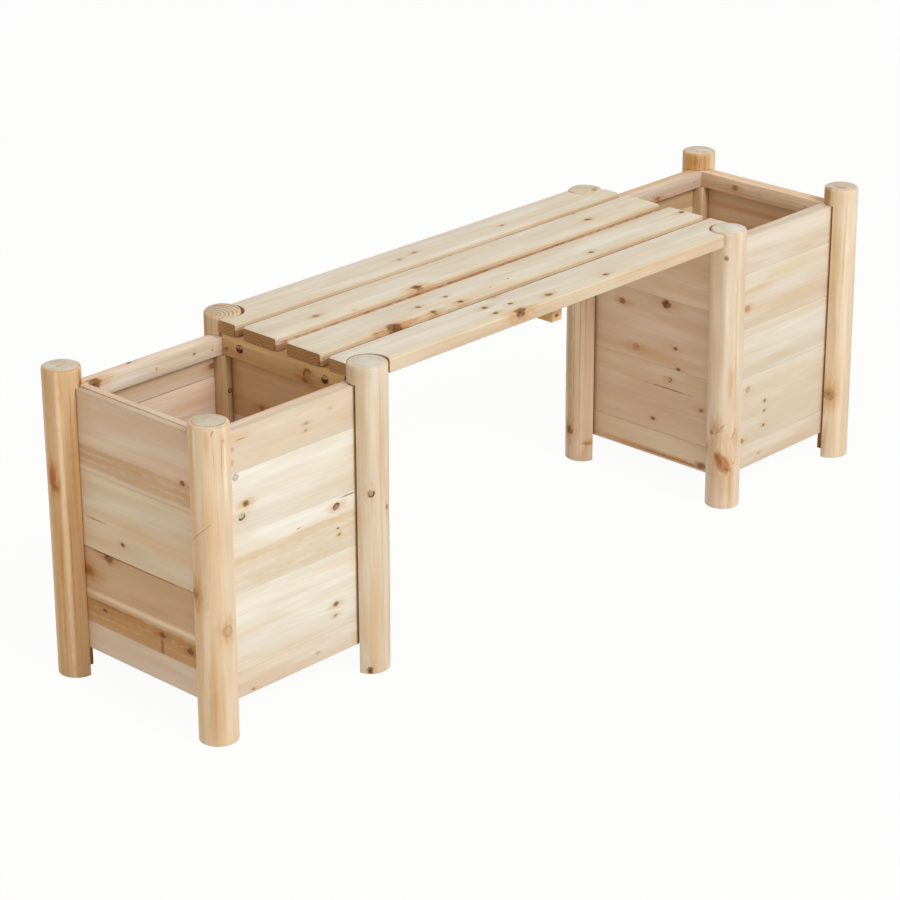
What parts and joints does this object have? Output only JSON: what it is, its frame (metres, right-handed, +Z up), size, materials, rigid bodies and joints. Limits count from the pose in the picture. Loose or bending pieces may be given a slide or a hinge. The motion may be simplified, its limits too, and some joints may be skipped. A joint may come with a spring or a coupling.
{
  "type": "planter bench",
  "caption": "Slatted wooden bench seat joined at each end to a square planter box with round log corner posts.",
  "frame": {"origin": "on the floor, under the middle of the seat", "axes": "+X along the bench towards the right planter, -Y towards the front, +Z up"},
  "size_m": [1.39, 0.34, 0.45],
  "materials": {
    "peeled_log": "peeled softwood log, turned smooth, pale honey with brown knots, matt",
    "wall_board": "sawn and planed softwood boards edge to edge, flat grain with knots, matt",
    "seat_board": "planed softwood, cream with pale grain and a few knots, matt",
    "batten_wood": "sawn softwood, matt",
    "floor_board": "sawn softwood, matt",
    "bolt_steel": "dark zinc-plated steel, dull",
    "screw_steel": "dark steel, dull"
  },
  "bodies": {
    "root": {"back_inner_slat": "seat_board", "back_outer_slat": "seat_board", "bearer_nails": "screw_steel", "floor_nails": "screw_steel", "front_inner_slat": "seat_board", "front_outer_slat": "seat_board", "joining_bolts": "bolt_steel", "joining_nuts": "bolt_steel", "joining_washers": "bolt_steel", "left_back_floor_bearer": "batten_wood", "left_back_rim_batten": "batten_wood", "left_back_wall": "wall_board", "left_floor": "floor_board", "left_front_floor_bearer": "batten_wood", "left_front_rim_batten": "batten_wood", "left_front_wall": "wall_board", "left_inner_back_corner_batten": "batten_wood", "left_inner_back_post": "peeled_log", "left_inner_front_corner_batten": "batten_wood", "left_inner_front_post": "peeled_log", "left_outer_back_corner_batten": "batten_wood", "left_outer_back_post": "peeled_log", "left_outer_front_corner_batten": "batten_wood", "left_outer_front_post": "peeled_log", "left_outer_rim_batten": "batten_wood", "left_outer_wall": "wall_board", "left_seat_batten": "batten_wood", "left_seat_side_wall": "wall_board", "middle_seat_batten": "batten_wood", "post_screws": "screw_steel", "right_back_floor_bearer": "batten_wood", "right_back_rim_batten": "batten_wood", "right_back_wall": "wall_board", "right_floor": "floor_board", "right_front_floor_bearer": "batten_wood", "right_front_rim_batten": "batten_wood", "right_front_wall": "wall_board", "right_inner_back_corner_batten": "batten_wood", "right_inner_back_post": "peeled_log", "right_inner_front_corner_batten": "batten_wood", "right_inner_front_post": "peeled_log", "right_outer_back_corner_batten": "batten_wood", "right_outer_back_post": "peeled_log", "right_outer_front_corner_batten": "batten_wood", "right_outer_front_post": "peeled_log", "right_outer_rim_batten": "batten_wood", "right_outer_wall": "wall_board", "right_seat_batten": "batten_wood", "right_seat_side_wall": "wall_board", "rim_nails": "screw_steel", "slat_screws": "screw_steel"}
  },
  "joints": []
}
